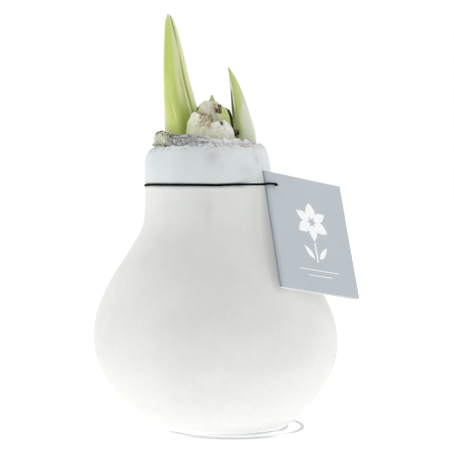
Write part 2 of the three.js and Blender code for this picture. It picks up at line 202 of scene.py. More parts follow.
def evenly(points, count):
    """count + 1 points, evenly apart along the smooth curve through the given ones."""
    at = curve_through(points)
    fine = [at(step / (count * 8)) for step in range(count * 8 + 1)]
    travelled = [0.0]
    for start, end in zip(fine, fine[1:]):
        travelled.append(travelled[-1] + (end - start).length)
    spaced, place = [], 0
    for step in range(count + 1):
        wanted = travelled[-1] * step / count
        while place < len(fine) - 2 and travelled[place + 1] < wanted:
            place += 1
        share = (wanted - travelled[place]) / (travelled[place + 1] - travelled[place])
        spaced.append(fine[place].lerp(fine[place + 1], min(max(share, 0), 1)))
    return spaced


def edges(stations):
    """The left and the right edge of stations, each as a list of (x, height)."""
    return [(left, z) for z, left, _ in stations], [(right, z) for z, _, right in stations]


def outline_of(stations):
    """Gives middle x, half width and height at a share of the way along stations."""
    left, right = (curve_through(edge) for edge in edges(stations))

    def at(share):
        start, end = left(share), right(share)
        return (start.x + end.x) / 2, (end.x - start.x) / 2, (start.y + end.y) / 2

    return at


def there_and_back(count):
    """(side, share) round a thin section: 0 to 1 along one side, and back along the other."""
    shares = [step / count for step in range(count + 1)]
    return [(1, share) for share in shares] + [(-1, share) for share in reversed(shares)]


# ---------------------------------------------------------------- meshes


class Skin:
    """Points in millimetres, faces, and named numbers at each point, gathered for one mesh."""

    def __init__(self):
        self.points, self.faces, self.values = [], [], {}

    def add(self, point, values=None):
        for name, value in (values or {}).items():
            self.values.setdefault(name, {})[len(self.points)] = value
        self.points.append(Vector(point))
        return len(self.points) - 1

    def grid(self, rows, columns, make, around=False, ring=False, closed=False):
        """Joins rows of points by quads. make(row, column) gives a point and its values. around
        joins the ends of each row, ring also the last row to the first, and closed does what
        around does and caps both ends."""
        around = around or ring or closed
        index = [
            [self.add(*make(row, column)) for column in range(columns)] for row in range(rows)
        ]
        for row in range(rows if ring else rows - 1):
            below, above = index[row], index[(row + 1) % rows]
            for column in range(columns if around else columns - 1):
                beside = (column + 1) % columns
                self.faces.append((below[column], below[beside], above[beside], above[column]))
        for row in (index[0], index[-1]) if closed else ():
            self.cap(row)
        return self

    def cap(self, row):
        """Closes a row with a fan from its middle."""
        middle = sum((self.points[i] for i in row), Vector()) / len(row)
        values = {
            name: sum(held.get(i, 0) for i in row) / len(row)
            for name, held in self.values.items()
        }
        centre = self.add(middle, values)
        self.faces += [(row[i], row[(i + 1) % len(row)], centre) for i in range(len(row))]

    def prism(self, *ends):
        """Joins two outlines, and closes each with one face."""
        first, count = len(self.points), len(ends[0])
        self.grid(2, count, lambda row, column: (ends[row][column], None), around=True)
        self.faces += [tuple(range(start, start + count)) for start in (first, first + count)]
        return self

    def tube(self, path, sides, radius):
        """A round tube along a path. radius(step, side) gives its size there."""
        steps = len(path)
        along = [
            (path[min(i + 1, steps - 1)] - path[max(i - 1, 0)]).normalized() for i in range(steps)
        ]
        across = [along[0].orthogonal().normalized()]
        for tangent in along[1:]:
            across.append((across[-1] - tangent * across[-1].dot(tangent)).normalized())

        def make(step, side):
            angle = TURN * side / sides
            out = across[step] * cos(angle) + along[step].cross(across[step]) * sin(angle)
            return path[step] + out * radius(step, side), None

        return self.grid(steps, sides, make, closed=True)

    def mesh(self, name):
        made = bpy.data.meshes.new(name)
        made.from_pydata([point * MM for point in self.points], [], self.faces)
        for value, held in self.values.items():
            layer = made.attributes.new(value, "FLOAT", "POINT")
            layer.data.foreach_set("value", [held.get(i, 0.0) for i in range(len(self.points))])
        work = bmesh.new()
        work.from_mesh(made)
        bmesh.ops.recalc_face_normals(work, faces=work.faces)
        work.to_mesh(made)
        work.free()
        made.shade_smooth()
        return made


def put(name, data):
    """A new object in the scene."""
    made = bpy.data.objects.new(name, data)
    bpy.context.scene.collection.objects.link(made)
    return made


def piece(name, shape, materials, slot, *nodes):
    """Puts a skin, or a finished mesh, in the scene in place of CAD nodes."""
    made = put(name, shape.mesh(name) if isinstance(shape, Skin) else shape)
    for material in materials if isinstance(materials, list) else [materials]:
        made.data.materials.append(material)
    # the card is kept out of the coat's soft light, so that it leaves only a faint shadow there
    made.visible_diffuse = slot != "tag_card"
    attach(made, "root")
    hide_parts(*nodes)
    return made


def thicken(made, thickness, rounds=0):
    """Gives a sheet its thickness in mm, to both sides."""
    solid = made.modifiers.new("thickness", "SOLIDIFY")
    solid.thickness = thickness * MM
    solid.offset = 0
    if rounds:
        rounding = made.modifiers.new("rounding", "SUBSURF")
        rounding.levels = rounding.render_levels = rounds


# ---------------------------------------------------------------- materials


def colour(shade):
    """A display colour, 0 to 255, as the shader's linear light."""
    return (*(
        value / 12.92 if value <= 0.04045 else ((value + 0.055) / 1.055) ** 2.4
        for value in (part / 255 for part in shade)
    ), 1.0)


class Nodes:
    """A short way to add nodes to a node tree."""

    def __init__(self, tree):
        self.tree = tree

    def node(self, kind, inputs=None, **settings):
        made = self.tree.nodes.new("ShaderNode" + kind)
        for name, value in settings.items():
            setattr(made, name, value)
        for name, value in (inputs or {}).items():
            self.feed(made.inputs[name], value)
        return made

    def feed(self, socket, value):
        if isinstance(value, bpy.types.NodeSocket):
            self.tree.links.new(value, socket)
        else:
            socket.default_value = value


class Shader(Nodes):
    """A material with one Principled shader, whose plain values are given by name."""

    def __init__(self, name, **plain):
        self.material = bpy.data.materials.new(name)
        self.material.use_nodes = True
        super().__init__(self.material.node_tree)
        self.surface = self.tree.nodes["Principled BSDF"]
        for socket, value in plain.items():
            self.surface.inputs[socket.replace("_", " ")].default_value = value

    def here(self):
        """The place of a point in the object, in metres."""
        return self.node("TexCoord").outputs["Object"]

    def named(self, value):
        return self.node("Attribute", attribute_name=value).outputs["Fac"]

    def noise(self, size, detail=2.0, stretch=(1, 1, 1), where=None, rough=0.5):
        """Noise whose humps are about size mm apart, and stretch times longer along each axis."""
        scaled = self.node("Mapping", {
            "Vector": where or self.here(),
            "Scale": tuple(1 / (size * MM * longer) for longer in stretch),
        })
        return self.node("TexNoise", {
            "Vector": scaled.outputs["Vector"], "Scale": 1.0, "Detail": detail, "Roughness": rough,
        }).outputs["Fac"]

    def range(self, value, low, high, to_low=0.0, to_high=1.0):
        return self.node("MapRange", {
            "Value": value, "From Min": low, "From Max": high, "To Min": to_low,
            "To Max": to_high,
        }, interpolation_type="SMOOTHSTEP").outputs["Result"]

    def maths(self, operation, first, second=0.0):
        return self.node("Math", {0: first, 1: second}, operation=operation).outputs[0]

    def times(self, first, second):
        return self.maths("MULTIPLY", first, second)

    def broken(self, value, pattern, *limits):
        """A named value, broken up by a pattern that is read between limits."""
        return self.times(self.named(value), self.range(pattern, *limits))

    def relief(self, *layers):
        """Bumps as (height, depth in mm) pairs, laid one over another."""
        normal = None
        for height, depth in layers:
            inputs = {"Height": height, "Distance": depth * MM, "Strength": 1.0}
            if normal is not None:
                inputs["Normal"] = normal
            normal = self.node("Bump", inputs).outputs["Normal"]
        self.feed(self.surface.inputs["Normal"], normal)

    def paint(self, ground, *coats):
        """The surface's colour: a ground, and (strength, colour) coats over it in turn. A strength
        is an output of another node, or the name of a value at the points."""
        painted = colour(ground)
        for strength, shade in coats:
            strength = self.named(strength) if isinstance(strength, str) else strength
            painted = self.node(
                "Mix", {"Factor": strength, 6: painted, 7: colour(shade)}, data_type="RGBA",
            ).outputs[2]
        self.feed(self.surface.inputs["Base Color"], painted)


def velvet():
    shader = Shader(
        "velvet", Roughness=0.92, Sheen_Weight=0.55, Sheen_Roughness=0.45, Specular_IOR_Level=0.15,
    )
    height = shader.node("SeparateXYZ", {"Vector": shader.here()}).outputs["Z"]
    nap = shader.noise(2.6, 4, (1, 1, 2.2))
    crust = shader.broken("crust", shader.noise(5, 2), 0.42, 0.6)
    shader.paint(
        (252, 252, 250),
        # painted light and shade: lightest at the very foot, against the shade under the base, and a
        # little greyer from the foot up, on the shoulder and on the neck
        (shader.range(height, 2.6 * MM, 4.8 * MM), (234, 234, 232)),
        (shader.range(height, 6 * MM, 20 * MM), (226, 226, 222)),
        (shader.range(height, 56 * MM, 82 * MM), (220, 222, 217)),
        (shader.range(height, (CORD_Z - 4) * MM, (CORD_Z + 3) * MM), (212, 219, 220)),
        # broad pale patches, wear, the painted shadow along the tag's fold, the nap, and crumbs on the
        # lip
        (shader.range(shader.noise(24, 3), 0.35, 0.7, 0.0, 0.35), (240, 240, 237)),
        (shader.broken("rubbed", shader.noise(3.5, 3), 0.3, 0.55, 0.4, 1.0), (202, 203, 210)),
        ("by_fold", (174, 175, 176)),
        (shader.range(nap, 0.3, 0.75, 0.0, 0.1), (204, 204, 202)),
        (shader.times(crust, shader.range(shader.noise(1.1, 4), 0.46, 0.62)), (172, 173, 168)),
    )
    shader.relief((shader.noise(6, 3), 0.16), (nap, 0.07), (shader.noise(0.32, 3, rough=0.7), 0.09))
    return shader.material


def flesh():
    """Cream scales of the bulb: green at their roots, brown where they are torn."""
    shader = Shader(
        "bulb_flesh", Roughness=0.5, Subsurface_Weight=0.35, Subsurface_Scale=0.0025,
        Subsurface_Radius=(1.0, 0.85, 0.6), Specular_IOR_Level=0.4,
    )
    veins = shader.noise(0.7, 3, (1, 1, 9))
    mottle = shader.noise(1.8, 4)
    torn = shader.broken("torn", shader.noise(1.1, 4), 0.32, 0.53)
    threads = shader.range(shader.noise(0.5, 4), 0.5, 0.62, 0.0, 0.75)
    shader.paint(
        (226, 226, 204),
        (shader.range(mottle, 0.35, 0.6), (247, 247, 240)),
        (shader.range(veins, 0.4, 0.6, 0.0, 0.5), (252, 252, 248)),
        ("green", (210, 218, 142)),
        (shader.broken("mauve", veins, 0.3, 0.6), (188, 168, 196)),
        (torn, (188, 175, 140)),
        (shader.times(torn, threads), (132, 108, 84)),
        # painted shade: dark in the furrows between the cut scales, in the front scale's notch and in
        # the notch at the sheath's left
        (shader.broken("dark", shader.noise(0.9, 3), 0.3, 0.5), (48, 44, 26)),
    )
    shader.relief((veins, 0.16), (mottle, 0.45))
    return shader.material


def papery():
    """Dried scales: grey, darker in their creases as painted shade and where soiled, and nearly white
    where they are thin.
    """
    shader = Shader("dried_scales", Roughness=0.85, Specular_IOR_Level=0.2)
    streaks = shader.noise(0.8, 5, (1.8, 1.8, 0.7), rough=0.7)
    hairs = shader.noise(0.4, 4, (1.2, 1.2, 2.6))
    shader.paint(
        (156, 156, 154),
        (shader.range(streaks, 0.36, 0.62), (222, 222, 221)),
        ("pale", (248, 249, 247)),
        ("cream", (192, 197, 164)),
        # painted shade in the creases, and soil
        (shader.times(shader.named("creased"), 0.45), (96, 93, 94)),
        (shader.range(hairs, 0.56, 0.64, 0.0, 0.75), (238, 238, 232)),
        (shader.broken("spots", shader.noise(0.8, 3), 0.5, 0.56), (58, 54, 36)),
    )
    shader.relief((streaks, 0.3), (shader.noise(0.4, 3), 0.12))
    return shader.material


def leaf(name, bright, pale, deep, tip, margin):
    """A waxy leaf with lengthwise veins. Its pale, deep, tip and edge values are at its
    points, with a value of painted light low down, and so are the strength of a painted highlight streak
    and how far across the leaf it is from there."""
    shader = Shader(
        name, Roughness=0.38, Subsurface_Weight=0.12, Subsurface_Scale=0.0015,
        Subsurface_Radius=(0.7, 1.0, 0.25), Specular_IOR_Level=0.5, Coat_Weight=0.12,
        Coat_Roughness=0.3,
    )
    where = shader.node("CombineXYZ", {
        "X": shader.named("across"), "Y": shader.named("along"),
    }).outputs["Vector"]
    veins = shader.noise(0.55, 3, (1, 60, 1), where)
    bands = shader.noise(2.8, 2, (1, 45, 1), where)
    painted_glints = shader.noise(0.5, 2, (1, 18, 1), where)
    near = shader.range(shader.maths("ABSOLUTE", shader.named("off_streak")), 0.006, 0.022, 1, 0)
    shader.paint(
        bright,
        # painted light, low at the left of the tall shoot
        ("fresh", (236, 254, 122)),
        ("pale", pale),
        # pale lengthwise bands, partly painted highlight
        (shader.range(bands, 0.45, 0.68, 0.0, 0.6), pale),
        ("deep", deep),
        (shader.range(veins, 0.45, 0.7, 0.0, 0.35), deep),
        # painted glints, and below them a painted highlight streak
        (shader.range(painted_glints, 0.58, 0.67, 0.0, 0.8), tip),
        (shader.times(near, shader.named("streak")), (250, 255, 190)),
        ("tip", tip),
        # a cream margin, brightened into a painted highlight along it
        ("edge", margin),
    )
    shader.relief((veins, 0.1), (bands, 0.15), (shader.noise(0.25, 2), 0.01))
    return shader.material


def cut_leaf():
    shader = Shader(
        "cut_leaf", Roughness=0.55, Subsurface_Weight=0.45, Subsurface_Scale=0.003,
        Subsurface_Radius=(0.9, 1.0, 0.4), Specular_IOR_Level=0.25,
    )
    veins = shader.noise(0.5, 3, (1, 1, 14))
    shader.paint(
        (236, 255, 150), (veins, (247, 255, 226)), ("pale", (246, 250, 216)),
        ("dry", (150, 132, 78)), ("dark", (38, 41, 4)),
    )
    shader.relief((veins, 0.12), (shader.noise(1.2, 3), 0.1))
    return shader.material


def parchment():
    """The golden, crumpled rag of a dried leaf side."""
    shader = Shader("parchment", Roughness=0.6, Specular_IOR_Level=0.3)
    mottle = shader.noise(0.7, 4)
    patchy = shader.maths("ADD", shader.noise(0.9, 3), shader.named("burnt"))
    shader.paint(
        (168, 150, 86), (mottle, (222, 214, 168)), (shader.range(patchy, 0.48, 0.62), (72, 62, 26)),
    )
    shader.relief((mottle, 0.25))
    return shader.material


def grainy(name, dark, light, size, detail, depth, **plain):
    """A material of two shades, with a fine grain of its size and depth in mm."""
    shader = Shader(name, **plain)
    grain = shader.noise(size, detail)
    shader.paint(dark, (grain, light))
    shader.relief((grain, depth))
    return shader, grain


# Black for the crumbs that stand in for shade in dark hollows.
def shade_black():
    shader, _ = grainy(
        "black_for_shade", (14, 13, 8), (52, 50, 30), 0.5, 3, 0.1, Roughness=0.8, Specular_IOR_Level=0.2,
    )
    return shader.material


def elastic():
    shader, _ = grainy(
        "elastic", (4, 4, 5), (16, 16, 18), 0.2, 2, 0.03, Roughness=0.85, Specular_IOR_Level=0.08,
    )
    return shader.material


def steel():
    shader, drawn = grainy(
        "bright_wire", (228, 230, 232), (246, 247, 248), 0.25, 3, 0.01, Metallic=1.0,
        Specular_IOR_Level=0.5,
    )
    shader.feed(shader.surface.inputs["Roughness"], shader.range(drawn, 0.3, 0.7, 0.24, 0.4))
    return shader.material


def card(name, dark, light, roughness, by_fold=None):
    """Uncoated card. A colour given for its fold is a painted shade that it turns to towards the tag's
    fold.
    """
    shader = Shader(name, Roughness=roughness, Specular_IOR_Level=0.35)
    fibres = shader.noise(0.5, 4, rough=0.7)
    coats = [(shader.times(shader.maths("ADD", fibres, shader.noise(14, 2)), 0.5), light)]
    if by_fold:
        # painted shade: the card turns darker towards its fold
        across = TAG_ACROSS.normalized()
        fold = TAG_CORNER.dot(across)
        reach = shader.node("VectorMath", {0: shader.here(), 1: across}, operation="DOT_PRODUCT")
        near = shader.range(reach.outputs["Value"], fold * MM, (fold + 3.2) * MM, 0.6, 0.0)
        coats.append((near, by_fold))
    shader.paint(dark, *coats)
    shader.relief((fibres, 0.02))
    return shader.material


# ---------------------------------------------------------------- wire stand


def wire_stand():
    """The spiral, the curl into its middle, and the spike that stands in the bulb."""
    level, steps, sides = WIRE / 2, round(STAND.turns * STAND.steps_a_turn), 20
    path = []
    for step in range(steps, -1, -1):
        along = step / steps
        radius = STAND.outer - (STAND.outer - STAND.inner) * (1 - along) ** STAND.easing
        path.append(polar(radius, pi + along * STAND.turns * TURN, level, STAND.centre_x))
    bend_x = SPIKE.x - SPIKE.bend
    for step in range(1, SPIKE.steps + 1):
        angle = TURN / 4 * step / (SPIKE.steps + 1)
        path.append(Vector((bend_x * (1 - cos(angle)), SPIKE.y * sin(angle), level)))
    for step in range(SPIKE.steps + 1):
        angle = TURN / 4 * step / SPIKE.steps
        path.append(Vector((
            bend_x + SPIKE.bend * sin(angle), SPIKE.y, level + SPIKE.bend * (1 - cos(angle)),
        )))
    # both ends are ground round, the free one bluntly and the spike's to a point
    blunt, point = Sizes(length=0.25, share=0.6), Sizes(length=0.9, share=0.35)
    start = path[0] + (path[0] - path[1]).normalized() * blunt.length
    spike_end = [Vector((SPIKE.x, SPIKE.y, SPIKE.top - short)) for short in (point.length, 0)]
    path = [start, *path, *spike_end]
    shares = {0: blunt.share, len(path) - 1: point.share}
    skin = Skin().tube(path, sides, lambda step, side: WIRE / 2 * shares.get(step, 1))
    piece("bright_wire_stand", skin, steel(), "stand_wire", "wire_stand")


# ---------------------------------------------------------------- velvet coat


def dipped(angle, radius, z):
    """How far the outside stands out from a perfect turning, as a dipped hand-made coat does."""
    out = polar(radius, angle, z)
    uneven = 0.28 * ripple(out, 26, 3) + 0.1 * ripple(out, 8, 5) + 0.035 * ripple(out, 2.4, 8)
    # the elastic presses into the nap, except where it leaves the neck for the tag
    degrees = to_degrees(angle) % 360
    pressed = 0.35 if degrees <= 9 else 1 - 0.65 * smooth(298, 312, degrees)
    above = z - CORD_Z - sag(degrees)
    groove = -0.5 * pressed * hump(above, 0, 0.7)
    beside = 0.1 * pressed * (hump(above, -1.6, 0.7) + hump(above, 1.6, 0.7))
    crease = -0.3 * hump(degrees, 328, 1.6) * between((106, 108), (113, 115), z)
    lip = 0.3 * ripple(out, 4.5, 11) * smooth(111, 114, z)
    return uneven + groove + beside + crease + lip


def inset_wall(distance, count):
    """The coat's outline set in by a distance."""
    wall = evenly(COAT_OUTLINE, count)
    placed = []
    for step, point in enumerate(wall):
        along = (wall[min(step + 1, count)] - wall[max(step - 1, 0)]).normalized()
        placed.append(Vector((point.x - along.y * distance, point.y + along.x * distance)))
    return placed


def coat_rows():
    """Rows of the coat: middle x and y, radius, height, and whether it is the outside."""
    hole_x = SPIKE.x - SPIKE.bend / 2
    outside = evenly(COAT_OUTLINE, COAT_STEPS.wall) + evenly(COAT_NECK, COAT_STEPS.neck)[1:]
    outside += evenly(COAT_LIP, COAT_STEPS.lip)[1:]
    inside = evenly([(radius - WALL, z) for radius, z in COAT_NECK], COAT_STEPS.inner_neck)[::-1]
    inside += inset_wall(WALL, COAT_STEPS.inner_wall)[::-1]

    def level_rows(shares, edge, z):
        """Flat rows, from the hole round the spike at 0 to an edge at 1."""
        return [
            (hole_x * (1 - share), SPIKE.y * (1 - share), mix(SPIKE.pocket, edge, share), z, 0)
            for share in shares
        ]

    base = [step / COAT_STEPS.base for step in range(COAT_STEPS.base)]
    rows = level_rows(base, outside[0].x, COAT_BASE)
    rows += [(axis_x(z), 0, radius, z, 1) for radius, z in outside]
    rows += [(axis_x(z), 0, radius, z, 0) for radius, z in inside]
    return rows + level_rows([0.75, 0.5, 0.25, 0], inside[-1].x, COAT_BASE + WALL)


def lip_wave(angle):
    """How much higher than its mean the lip is at an angle."""
    return LIP_WAVE * (cos(angle) + 0.7 * sin(3 * angle + 1) + 0.4 * cos(5 * angle))


def rubbed_nap(degrees, z):
    """Where the velvet on the neck is a little worn, by hands and by the tag."""
    return sum(
        strength * hump(degrees, at, wide) * hump(z, level, high)
        for at, wide, level, high, strength in [
            (275, 6, 111.5, 2.4, 1.0), (308, 7, 106.7, 1.6, 0.6), (322, 3.5, 111, 2.6, 1.2),
            (268, 5, 92, 5, 0.45), (148, 8, 110, 3, 0.7), (60, 9, 108, 2.5, 0.6),
        ]
    )


def by_fold(x, y, z):
    """How strong the painted shadow is that the tag's fold, which hangs close in front of the coat,
    leaves on it.
    """
    down = TAG_DOWN.normalized()
    along = (z - TAG_CORNER.z) / down.z
    if y > 0 or not -2 < along < TAG.height + 4:
        return 0
    left = (TAG_CORNER + down * along).x + 0.3 - x
    wide = read_along([(0, 2.0), (10, 2.6), (20, 4.2), (35, 5.4), (45, 4.6), (51, 3.6)], along)
    ends = between((2, 11), (TAG.height - 4, TAG.height + 4), along)
    return ends * fade(0.5, 4, -left) * min(max(1 - left / wide, 0), 1)


def velvet_coat():
    rows = coat_rows()

    def make(row, column):
        middle_x, middle_y, radius, z, outside = rows[row]
        angle = TURN * column / COAT_STEPS.round
        degrees = to_degrees(angle)
        # the lip is crusted where the wax met the dried skins, and less so at the right
        crust = outside * smooth(113.9, 116.0, z) * (1 - 0.6 * whiteness(degrees))
        if outside:
            radius += dipped(angle, radius, z) * smooth(COAT_BASE, COAT_BASE + 2, z)
            spot = polar(radius, angle, z)
            radius += crust * 0.45 * ripple(spot, 1.5, 23)
            z += crust * (0.7 * ripple(spot, 2.1, 21) + 0.45 * ripple(spot, 0.9, 22) - 0.25)
        rubbed = outside * rubbed_nap(degrees, z)
        z += lip_wave(angle) * smooth(112, 115, z)
        x, y = middle_x + radius * cos(angle), middle_y + radius * sin(angle)
        # the painted shadow of the tag's fold, which hangs in front of the coat
        grey = outside * by_fold(x, y, z)
        return (x, y, z), {"crust": crust, "rubbed": rubbed, "by_fold": grey}

    coat = Skin().grid(len(rows), COAT_STEPS.round, make, ring=True)
    piece("velvet_coat", coat, velvet(), "velvet_wax", "wax_coat")


# ---------------------------------------------------------------- bulb


def bulb_body(material):
    """The flesh inside the wax, and the cut scales round the nose as uneven rings."""
    inset = WALL + GAP
    neck = [(radius - inset, z) for radius, z in COAT_NECK[1:3]]
    shoulder = (COAT_NECK[3][0] - inset, COAT_NECK[3][1] - 2 * GAP)
    top = [Vector(point) for point in [*neck, shoulder]]
    for start, end in zip(BULB_TOP, BULB_TOP[1:]):
        steps = max(2, round((Vector(end) - Vector(start)).length / 0.6))
        top += [Vector(start).lerp(Vector(end), step / steps) for step in range(steps)]
    profile = inset_wall(inset, 30) + top + [Vector(BULB_TOP[-1])]
    sides = 160

    def make(row, column):
        radius, z = profile[row]
        angle = TURN * column / sides
        cut = smooth(114.6, 117.5, z)
        rough = ripple(polar(radius, angle, z), 2.2, 4)
        ring = ripple(polar(radius, angle), 7, 9)
        z += cut * (0.55 * rough + 0.6 * ring)
        # painted shade: dark in the furrows between the cut scales' rings
        furrow = hump(radius, 15.3, 0.35) + hump(radius, 12.6, 0.35) + hump(radius, 18.0, 0.3)
        gaps = 0.5 + 0.9 * ripple(polar(3, angle, radius), 1.0, 6)
        # the scales' rings aren't true circles
        wander = ripple(polar(2.2, angle), 1.0, 15)
        radius += cut * smooth(19, 16.5, radius) * (0.9 * wander + 0.25 * rough)
        return polar(radius, angle, z, axis_x(z)), {
            "torn": cut * min(max(0.45 + 0.7 * ring, 0), 1), "green": 0.3 + 0.3 * rough,
            "dark": cut * min(furrow * max(gaps, 0.2), 1),
        }

    skin = Skin().grid(len(profile), sides, make, closed=True)
    piece("bulb_flesh", skin, material, "bulb_flesh", "bulb")


def standing_wall(skin, wall):
    """A curved wall with a thin uneven crest, closed at both ends. Seen from above it follows an
    ellipse, which is wall.deep times as deep as it is wide. wall.shade(turned, up) gives its
    values."""
    first, last = wall.edge[0][0], wall.edge[-1][0]
    rises = [step / wall.levels for step in range(wall.levels)]
    loop = [(1, up) for up in rises] + [(0, 1.0)] + [(-1, up) for up in reversed(rises)]

    def make(row, column):
        side, up = loop[column]
        turned = mix(first, last, row / wall.turns)
        angle = radians(turned)
        flat = polar(wall.radius, angle)
        crest = read_along(wall.edge, turned) + wall.ragged * ripple(flat, 1.0, wall.seed)
        taper = sqrt(max(sin(pi * row / wall.turns), 0.02))
        half = wall.thick / 2 * (1 - up**wall.blunt) ** 0.5 * min(1, taper * 1.6)
        z = mix(wall.foot, crest, up)
        lump = wall.lumps * (ripple((flat.x, flat.y, z), 3.2, wall.seed + 2)
                             + 0.5 * ripple((flat.x, flat.y, z), 1.3, wall.seed + 4))
        reach = wall.radius - read_along(wall.lean, turned) * up + side * half
        reach += wall.bulge * sin(pi * up) + lump * (0.4 + 0.6 * up)
        place = (wall.x + reach * cos(angle), wall.y + wall.deep * reach * sin(angle), z)
        return place, wall.shade(turned, up)

    return skin.grid(wall.turns + 1, len(loop), make, closed=True)


def nose_scales(material):
    """The fleshy scale in front, chewed along its top, and the lower one behind."""

    def front_shade(turned, up):
        chewed = between((238, 250), (268, 280), turned)
        yellowish = 0.2 * fade(286, 302, turned) * fade(0.7, 0.95, up)
        return {
            "torn": min(1, chewed * smooth(0.5, 0.85, up) * 1.1),
            # painted shade in the notch in the front scale's top
            "dark": hump(turned, 297.5, 3.8) * smooth(0.84, 0.92, up),
            "green": 0.6 * fade(208, 234, turned) * (1.2 - 0.7 * up) + yellowish,
            "mauve": 0.25 * smooth(300, 312, turned),
        }

    def back_shade(turned, up):
        return {"torn": 0.7 * smooth(0.6, 0.95, up), "green": 0.3}

    front = Sizes(
        x=-4.2, y=0, radius=10.2, deep=0.84, thick=2.4, foot=NOSE_FOOT, bulge=0.5, ragged=0.45,
        lumps=0.45, blunt=6, seed=2, turns=150, levels=34, shade=front_shade,
        lean=[(230, 2.0), (280, 0.8), (315, 0.0)], edge=[
            (192, 120.0), (198, 124.3), (205, 128.0), (212, 130.0), (221, 130.7), (229, 130.3),
            (238, 129.5), (247, 128.9), (256, 128.6), (264, 128.3), (269, 127.3), (273, 126.1),
            (280, 125.9), (287, 126.6), (292, 127.0), (295, 126.0), (300, 126.1), (303, 127.3),
            (309, 127.0), (317, 126.0), (327, 124.8), (335, 123.4), (341, 121.4), (345, 119.0),
        ],
    )
    back = Sizes(
        x=-2.5, y=1.5, radius=10.4, deep=1, thick=2.2, foot=NOSE_FOOT, bulge=0.3, ragged=0.6,
        lumps=0.3, blunt=3, seed=7, turns=90, levels=22, shade=back_shade, lean=[(0, 0.8)], edge=[
            (40, 119.5), (52, 124.5), (66, 126.5), (84, 125.2), (100, 127.4), (116, 125.6),
            (132, 120.5),
        ],
    )
    skin = standing_wall(standing_wall(Skin(), front), back)
    piece("nose_scales", skin, material, "bulb_flesh", "bulb")


# The membranous sheath in the middle of the nose: (height, left edge, right edge), and then down
# inside its mouth, where the young leaf comes out.
SHEATH = [
    (NOSE_FOOT, -10.6, 1.6), (124, -10.7, 1.0), (128, -10.6, 0.5), (131, -10.1, 0.2),
    (133, -9.2, -0.1), (134.5, -7.9, -0.6), (135.2, -6.6, -1.3),
]
MOUTH = [(135.2, -6.6, -1.3), (135.0, -6.0, -1.8), (133.0, -5.5, -2.2)]


def sheath_shade(degrees, z):
    """Greenish at the left, mauve in its folds, torn and brown low in front."""
    front = between((-175, -150), (-30, 0), degrees)
    folds = 0.7 * hump(degrees, -63, 15) + 0.35 * hump(degrees, -98, 8)
    return {
        "green": min(1, 0.35 + 0.7 * hump(degrees, -135, 30) * hump(z, 130.6, 1.4)
                     + 0.4 * fade(130, 132.5, z) * fade(-115, -95, degrees)),
        "mauve": smooth(128.5, 130.5, z) * (folds + 0.3 * hump(degrees, -118, 22)),
        "torn": front * fade(129.0, 130.8, z + 0.02 * (degrees + 90))
                * (1 - 0.6 * smooth(-75, -55, degrees)),
        # painted shade in the notch at its left; its top edge is a little darker too
        "dark": 0.9 * hump(degrees, -158, 14) * hump(z, 132.2, 1.0) + hump(z, 135.4, 0.18) * 0.25,
    }


def nose_sheath(material):
    """One folded, wrinkled membrane, with deep creases down its front."""
    outer, mouth = (
        list(zip(*(evenly(edge, count) for edge in edges(stations))))
        for stations, count in ((SHEATH, 64), (MOUTH, 8))
    )
    rows, sides = outer + mouth[1:], 150
    creases = [(-77, 4.5, 0.12), (-47, 5.0, 0.09), (-118, 6.0, 0.05), (30, 6, 0.1), (85, 6, 0.12),
               (140, 6, 0.1)]

    def make(row, column):
        left, right = rows[row]
        angle = TURN * column / sides - pi
        degrees = to_degrees(angle)
        half, z = (right.x - left.x) / 2, (left.y + right.y) / 2
        folded = 1 - sum(depth * hump(degrees, at, wide) for at, wide, depth in creases)
        folded += 0.03 * ripple((degrees / 7, z / 9, 0), 1.0, 3)
        reach = half * folded
        flat = Vector(((left.x + right.x) / 2 + reach * cos(angle), 0.4 + 0.78 * reach * sin(angle), z))
        flat += polar(1, angle, 0.25) * (0.22 * ripple(flat, 2.0, 4) + 0.1 * ripple(flat, 0.8, 8))
        flat.z += 0.35 * ripple((degrees / 14, 0, 0), 1.0, 2) * smooth(133.5, 135.3, z)
        return flat, sheath_shade(degrees, z)

    skin = Skin().grid(len(rows), sides, make, closed=True)
    piece("nose_sheath", skin, material, "bulb_flesh", "bulb")


# ---------------------------------------------------------------- dried scales


def crest_change(degrees):
    """The dried ring rises to its stump at the left, and is lower at the right."""
    return 1.3 * hump(degrees, 203, 19) - 2.3 * max(0, cos(radians(degrees + 20)))


def whiteness(degrees):
    """The thin skins at the right are nearly as white as the wax."""
    return 0.95 * smooth(0.05, 0.7, cos(radians(degrees + 22)))


def crumpled_sheet(skin, radius, top, seed):
    """One crumpled sheet of dried skin, all the way round."""
    sides, levels = 420, 14

    def make(row, column):
        angle = TURN * column / sides
        degrees = to_degrees(angle)
        flat = polar(radius, angle)
        inner = row > levels
        up = (2 * levels + 1 - row if inner else row) / levels
        tear = 1.1 * ripple(flat, 3.4, seed) + 0.55 * ripple(flat, 1.1, seed + 2)
        z = mix(RING_FOOT, max(top + tear + crest_change(degrees), RING_FOOT + 1.6), up)
        broad =(flat.x * 0.3, flat.y * 0.3, z * 1.5)
        fine = (flat.x * 0.8, flat.y * 0.8, z * 2.6)
        crumple = 0.6 * ripple(broad, 1.0, seed + 4) + 0.3 * ripple(fine, 1.0, seed)
        thin = 0.16 * (1 - 0.6 * up)
        reach = radius + crumple * (0.3 + up) + 0.4 * up * up + (-thin if inner else thin)
        white, dirty = whiteness(degrees), hump(degrees, 228, 17)
        # painted shade where the sheet is pressed in, in its creases; dirty adds soil at the left
        creased = smooth(0.1, -0.4, crumple) * (1 - 0.6 * white)
        return polar(reach, angle, z, axis_x(z)), {
            "pale": white, "creased": min(1.1, creased * (1 - 0.4 * up) + 0.25 * dirty),
            "spots": 0.7 * dirty,
        }

    skin.grid(2 * levels + 2, sides, make, ring=True)


